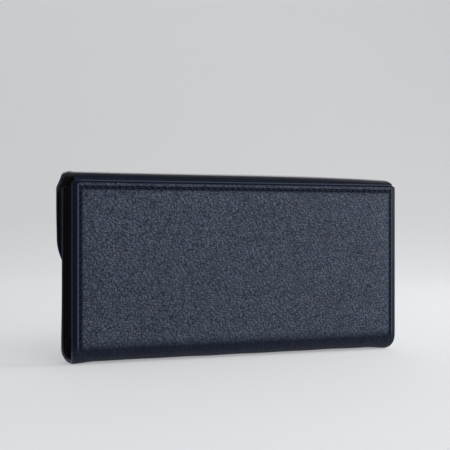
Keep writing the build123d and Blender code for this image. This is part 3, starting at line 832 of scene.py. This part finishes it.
def makeCoinWall(name, node, side):
    # a side profile carried across the width: flat below, opening at the neck and upright under the zip
    low, high = nodeBox(node)
    middle = depthToY(middleDepth)
    wall = coinWall["thickness"]
    headOuter = (high[1] - middle) if side > 0 else (middle - low[1])
    flatOuter = headOuter - (abs(high[1] - low[1]) - 0.6)
    neck = coinWall["neck"]
    corners = [
        (middle + side * (flatOuter - wall / 2), low[2]),
        (middle + side * (flatOuter - wall / 2), neck),
        (middle + side * (headOuter - wall / 2), coinWall["shoulder"]),
        (middle + side * (headOuter - wall / 2), high[2]),
    ]
    radii = [coinWall["neckRadius"], coinWall["shoulderRadius"]]
    spine, facing, along = bentPath(corners, radii, coinWall["step"], 0.4, 1.0)
    half = high[0]
    share = edgeSteps(half, np.array([0, 0.15, 0.4, 1.0]), 2.0)
    narrow = half - (half - coinWall["headHalf"]) * smoothStep(spine[:, 1], neck - 1.5, neck)
    x = share[None, :] * narrow[:, None]
    gap = np.minimum(narrow[:, None] - np.abs(x), np.minimum(along, along[-1] - along)[:, None])
    drop = roundedDrop(gap, coinWall["rounding"], wall * 0.4)
    outer = offPath(spine, facing, x, wall / 2 - drop)
    inner = offPath(spine, facing, x, drop - wall / 2)
    piece = closedSheet(name, outer, inner, pocketLeather)
    return settle(piece, [node], "coin_pocket")


makeCoinWall("coinPocketRearWall", "coin_pocket_rear_wall", 1)
makeCoinWall("coinPocketFrontWall", "coin_pocket_front_wall", -1)


def makeTape(name, node):
    # a flat band with rounded edges and a low rib along its middle
    low, high = nodeBox(node)
    half = high[0]
    share = edgeSteps(half, np.array([0, 0.1, 0.3, 1.0]), 2.0)
    width = high[1] - low[1]
    y = low[1] + width * np.array([0, 0.05, 0.15, 0.3, 0.5, 0.7, 0.85, 0.95, 1.0])[:, None]
    x = share[None, :] * half + 0 * y
    y = y + 0 * x
    gap = np.minimum(half - np.abs(x), np.minimum(y - low[1], high[1] - y))
    drop = roundedDrop(gap, 0.2, 0.16)
    rib = 0.05 * bump(y, (low[1] + high[1]) / 2, 0.2)
    upper = np.stack([x, y, high[2] - drop - 0.05 + rib], -1)
    piece = closedSheet(name, upper, np.stack([x, y, low[2] + drop], -1), tapeCloth)
    return settle(piece, [node], "coin_pocket")


makeTape("zipTapeRear", "zip_tape_rear")
makeTape("zipTapeFront", "zip_tape_front")
tooth = {"pitch": 2.0, "width": 1.0, "sides": 12, "rings": 5}


def makeTeeth(name, node, side):
    # each tooth is a rounded bar across the tape's edge, swelling to a head at its tip
    low, high = nodeBox(node)
    count = round((high[0] - low[0] - tooth["width"]) / tooth["pitch"]) + 1
    middleZ, halfZ = (low[2] + high[2]) / 2, (high[2] - low[2]) / 2
    share = np.linspace(0, 1, tooth["rings"] + 2)[:, None]
    angle = (np.arange(tooth["sides"]) + 0.5) * 2 * np.pi / tooth["sides"]
    swell = 0.62 + 0.38 * np.sin(np.pi * np.clip(share * 0.85 + 0.08, 0, 1))
    swell = swell * np.where((share == 0) | (share == 1), 0.72, 1.0)
    power = 0.55
    ringX = np.sign(np.cos(angle)) * np.abs(np.cos(angle)) ** power * tooth["width"] / 2 * swell
    ringZ = np.sign(np.sin(angle)) * np.abs(np.sin(angle)) ** power * halfZ * swell
    inner, outer = (low[1], high[1]) if side > 0 else (high[1], low[1])
    ringY = inner + (outer - inner) * share + 0 * ringX
    one = np.stack([ringX, ringY, ringZ + middleZ], -1).reshape(-1, 3)
    starts = low[0] + tooth["width"] / 2 + tooth["pitch"] * np.arange(count)
    points = (one[None] + np.stack([starts, 0 * starts, 0 * starts], -1)[:, None]).reshape(-1, 3)
    piece = makePiece(name, points, tubeQuads(len(share), tooth["sides"], count), zipMetal)
    cleanMesh(piece.data, fill=True)
    return settle(piece, [node], "coin_pocket")


makeTeeth("zipTeethRear", "zip_teeth_rear", 1)
makeTeeth("zipTeethFront", "zip_teeth_front", -1)


def softenedCopy(name, node, body, material, width, segments=3):
    # the CAD node's own shape, merged, with its sharp edges rounded over
    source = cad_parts[node]
    work = bmesh.new()
    work.from_mesh(source.data)
    bmesh.ops.remove_doubles(work, verts=work.verts, dist=1e-6)
    bmesh.ops.dissolve_limit(work, angle_limit=math.radians(1), verts=work.verts, edges=work.edges)
    mesh = bpy.data.meshes.new(name)
    work.to_mesh(mesh)
    work.free()
    mesh.polygons.foreach_set("use_smooth", np.ones(len(mesh.polygons), bool))
    mesh.materials.clear()
    mesh.materials.append(material)
    piece = bpy.data.objects.new(name, mesh)
    bpy.context.scene.collection.objects.link(piece)
    bevel = piece.modifiers.new("roundedEdges", "BEVEL")
    bevel.width = width * mm
    bevel.segments = segments
    bevel.limit_method = "ANGLE"
    bevel.angle_limit = math.radians(35)
    bevel.harden_normals = True
    return settle(piece, [node], body)


softenedCopy("zipSlider", "zip_slider", "slider", zipMetal, 0.12)
softenedCopy("zipPull", "zip_pull", "pull", zipMetal, 0.16)
softenedCopy("zipStops", "zip_stops", "coin_pocket", zipMetal, 0.14)
print("zip made")


def turned(name, profile, node, body, material, slotName, sides=64):
    # a closed profile of radius and height turned round the stud's axis, which lies along Y
    low, high = nodeBox(node)
    centreX, centreZ = (low[0] + high[0]) / 2, (low[2] + high[2]) / 2
    profile = np.array(profile, float)
    angle = np.arange(sides) * 2 * np.pi / sides
    radius, y = profile[:, 0][:, None], profile[:, 1][:, None]
    x, z = centreX + radius * np.cos(angle), centreZ + radius * np.sin(angle)
    points = np.stack([x, y + 0 * angle, z], -1)
    piece = makePiece(name, points.reshape(-1, 3), tubeQuads(len(profile), sides), material)
    cleanMesh(piece.data, merge=True)
    return settle(piece, [node], body)


def domeProfile(radius, base, height, ringRadius):
    # a shallow dome with a raised bead near its rim, from the centre out to the seat
    r = np.linspace(0, radius, 40)
    dome = height * np.sqrt(np.clip(1 - (r / radius) ** 2.6, 0, 1))
    bead = 0.14 * bump(r, ringRadius, 0.32) - 0.2 * bump(r, ringRadius - 0.65, 0.26)
    return [(a, base - min(b, height)) for a, b in zip(r, dome * 0.93 + bead)]


capLow, capHigh = nodeBox("snap_cap")
socketLow, socketHigh = nodeBox("snap_socket")
studLow, studHigh = nodeBox("snap_stud")
cap = domeProfile((capHigh[0] - capLow[0]) / 2, wallet["flapFace"], wallet["flapFace"] - capLow[1], 5.0)
cap = cap + [(1.55, wallet["flapFace"]), (1.55, capHigh[1]), (0, capHigh[1])]
turned("snapCap", cap, "snap_cap", "flap", studMetal, "stud_metal")
top, foot = socketLow[1], socketHigh[1]
socketProfile = [
    (3.65, foot - 1.0), (3.65, top + 0.35), (3.9, top + 0.08), (4.5, top), (5.0, top + 0.15),
    (5.25, top + 0.5), (5.3, foot - 0.9), (5.5, foot - 0.55), (5.5, foot - 0.1), (5.4, foot),
    (1.75, foot), (1.75, foot - 0.95), (1.85, foot - 1.0), (3.65, foot - 1.0),
]
turned("snapSocket", socketProfile, "snap_socket", "flap", studMetal, "stud_metal")
seat, tip = studHigh[1], studLow[1]
studProfile = [
    (1.75, seat), (4.9, seat), (5.0, seat - 0.1), (4.98, seat - 0.4), (4.7, seat - 0.56), (3.1, seat - 0.62),
    (2.55, seat - 0.8), (2.4, seat - 1.2), (2.42, tip + 1.15), (2.75, tip + 1.0), (2.97, tip + 0.7),
    (2.95, tip + 0.35), (2.6, tip + 0.1), (2.0, tip), (0, tip),
]
studProfile = studProfile + [(0, seat - 1.5), (1.7, seat - 1.5), (1.75, seat)]
turned("snapStud", studProfile, "snap_stud", "front", studMetal, "stud_metal")
print("press stud made")


stitch = {"pitch": 3.5, "length": 2.75, "radius": 0.33, "sink": 0.3, "slant": 0.16, "rings": 7, "sides": 8}


def threadRow(name, spots, headings, faceY, towards, node, body):
    # faceY is the leather's face, one value or one for each stitch
    # each stitch is a short tube that rises out of one hole and goes down the next, a little slanted
    u = np.linspace(0, 1, stitch["rings"])[:, None]
    angle = np.arange(stitch["sides"]) * 2 * np.pi / stitch["sides"]
    girth = stitch["radius"] * np.sqrt(np.clip(1 - (2 * np.abs(u - 0.5)) ** 4, 0.12, 1))
    along = (u - 0.5) * stitch["length"] + 0 * angle
    side = girth * np.cos(angle) + stitch["slant"] * (u - 0.5) * 2
    rise = girth * np.sin(angle) * 0.8 + 0.12 * np.sin(np.pi * u) - stitch["sink"]
    count = len(spots)
    spots, headings = np.array(spots, float), np.array(headings, float)
    across = np.stack([-headings[:, 1], headings[:, 0]], -1)
    flat = spots[:, None, None, :] + along[None, ..., None] * headings[:, None, None, :]
    flat = flat + side[None, ..., None] * across[:, None, None, :]
    y = np.reshape(faceY, (-1, 1, 1)) + towards * rise[None] + 0 * flat[..., 0]
    points = np.stack([flat[..., 0], y, flat[..., 1]], -1)
    faces = tubeQuads(*along.shape, count)
    twist = (u * 9.0 + angle)[None] + np.zeros((count, 1, 1))
    piece = makePiece(name, points.reshape(-1, 3), faces, navyThread, {"twist": twist})
    cleanMesh(piece.data, fill=True)
    return settle(piece, [node], body)


def straightRow(start, end):
    # evenly spaced spots along a straight line, and the way it runs
    start, end = np.array(start, float), np.array(end, float)
    run = end - start
    count = math.ceil(np.linalg.norm(run) / stitch["pitch"]) - 1
    share = (np.arange(count) + 0.5)[:, None] / count
    heading = run / np.linalg.norm(run)
    return start + run * share, np.repeat(heading[None], count, 0)


def panelStitches(top):
    # up one side, along the top and down the other side
    side = wallet["halfLength"] - shell["sideStitch"]
    line = top - shell["topStitch"]
    corners = [(-side, wallet["foldTop"]), (-side, line), (side, line), (side, wallet["foldTop"])]
    rows = [straightRow(a, b) for a, b in zip(corners, corners[1:])]
    return np.concatenate([row[0] for row in rows]), np.concatenate([row[1] for row in rows])


def flapStitches():
    # down one side, round the corner, along the foot, and the same mirrored
    side = wallet["halfLength"] + flap["overhang"] - flap["stitch"]
    low = wallet["flapDrop"] + flap["stitch"]
    radius = flap["cornerRadius"] - flap["stitch"]
    turn = low + radius
    top = flap["flareEnd"] - 2
    foot = straightRow((-side + radius, low), (side - radius, low))
    rows = [straightRow((-side, top), (-side, turn)), foot, straightRow((side, turn), (side, top))]
    count = round(radius * math.pi / 2 / stitch["pitch"])
    angle = (np.arange(count) + 0.5) / count * math.pi / 2
    for end in (-1, 1):
        spot = np.stack([end * (side - radius + radius * np.sin(angle)), turn - radius * np.cos(angle)], -1)
        rows.append((spot, np.stack([end * np.cos(angle), np.sin(angle)], -1)))
    return np.concatenate([row[0] for row in rows]), np.concatenate([row[1] for row in rows])


backSeam, frontSeam = panelStitches(wallet["backTop"]), panelStitches(wallet["frontTop"])
threadRow("backStitching", *backSeam, wallet["backFace"], 1, "back_stitching", "back")
threadRow("frontStitching", *frontSeam, wallet["frontFace"], -1, "front_stitching", "front")
facePath = flapPath(0.0, flap["step"])
onFace = facePath[2] > facePath[2][-1] - 55
flapSpots, flapHeadings = flapStitches()
flapFaceY = np.interp(-flapSpots[:, 1], -facePath[0][onFace, 1], facePath[0][onFace, 0])
threadRow("flapStitching", flapSpots, flapHeadings, flapFaceY, -1, "flap_stitching", "flap")
print("stitches made")


def dress(node, material):
    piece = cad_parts[node]
    piece.data.materials.clear()
    piece.data.materials.append(material)


for node in ("back_board", "front_board"):
    dress(node, boardFibre)
dress("coin_pocket_edges", pocketLeather)
dress("snap_post", studMetal)


studio = {
    "floorHalf": 3.0, "sweepStart": 0.75, "sweepRadius": 0.9, "sweepTop": 2.2, "colour": (0.58, 0.585, 0.6),
    "world": (0.2, 0.203, 0.21), "lens": 84.84, "look": (-0.3905, -0.9206, 0.0),
    "cameraPlace": (0.23265, 0.5213, 0.0712),  # beyond the back face, along Y
    "glow": 0.34,  # the same all over the paper
}


cameraX, cameraBeyond, cameraZ = studio["cameraPlace"]
cameraSpot = (cameraX, wallet["backFace"] * mm + cameraBeyond, cameraZ)


def makeBackdrop():
    # a flat floor that sweeps up in a quarter circle into a wall behind the wallet
    rise = np.linspace(0, np.pi / 2, 40)
    near = np.concatenate([np.linspace(-studio["floorHalf"], -0.7, 10), np.linspace(-0.6, 0.7, 60)])
    bend = studio["sweepStart"] + studio["sweepRadius"] * np.sin(rise)
    run = np.concatenate([near, bend, [studio["sweepStart"] + studio["sweepRadius"]]])
    height = np.concatenate([0 * near, studio["sweepRadius"] * (1 - np.cos(rise)), [studio["sweepTop"]]])
    across = np.linspace(-studio["floorHalf"], studio["floorHalf"], 121)
    look = np.array(studio["look"][:2])
    side = np.array([look[1], -look[0]])
    flat = run[:, None, None] * look + across[None, :, None] * side
    points = np.concatenate([flat, (height[:, None] + 0 * across)[..., None]], -1)
    material, _, shader = newMaterial("studioSweep", {"roughness": 0.8, "specular": 0.1})
    shader.inputs["Base Color"].default_value = (*studio["colour"], 1)
    shader.inputs["Emission Color"].default_value = (0.985, 0.99, 1.0, 1)
    shader.inputs["Emission Strength"].default_value = studio["glow"]
    quads = gridQuads(len(run), len(across))
    makePiece("studioSweep", points.reshape(-1, 3) / mm, quads, material)


def makeWorld():
    world = bpy.data.worlds.new("studioWorld")
    bpy.context.scene.world = world
    world.use_nodes = True
    world.node_tree.nodes["Background"].inputs["Color"].default_value = (*studio["world"], 1)


def addLamp(name, place, target, size, power):
    # a rectangular softbox aimed at a point
    data = bpy.data.lights.new(name, "AREA")
    data.shape = "RECTANGLE"
    data.size, data.size_y = size
    data.energy = power
    lamp = bpy.data.objects.new(name, data)
    bpy.context.scene.collection.objects.link(lamp)
    lamp.location = place
    lamp.rotation_euler = (Vector(target) - Vector(place)).to_track_quat("-Z", "Y").to_euler()


makeBackdrop()
makeWorld()
addLamp("sideSoftbox", (-0.95, 0.2, 0.4), (0, 0, 0.05), (0.7, 0.6), 7.0)
addLamp("frontSoftbox", (-0.1, 1.2, 0.8), (0, 0, 0.05), (0.9, 0.7), 7.5)
addLamp("rimSoftbox", (-0.35, -0.83, 0.52), (0, 0, 0.08), (0.7, 0.2), 0.9)

cameraData = bpy.data.cameras.new("studioCamera")
cameraData.lens = studio["lens"]
cameraData.sensor_width = 36.0
cameraData.clip_end = 20.0
camera = bpy.data.objects.new("studioCamera", cameraData)
bpy.context.scene.collection.objects.link(camera)
camera.location = cameraSpot
camera.rotation_euler = Vector(studio["look"]).to_track_quat("-Z", "Y").to_euler()
bpy.context.scene.camera = camera
bpy.context.scene.view_settings.view_transform = "Standard"
print("studio made")
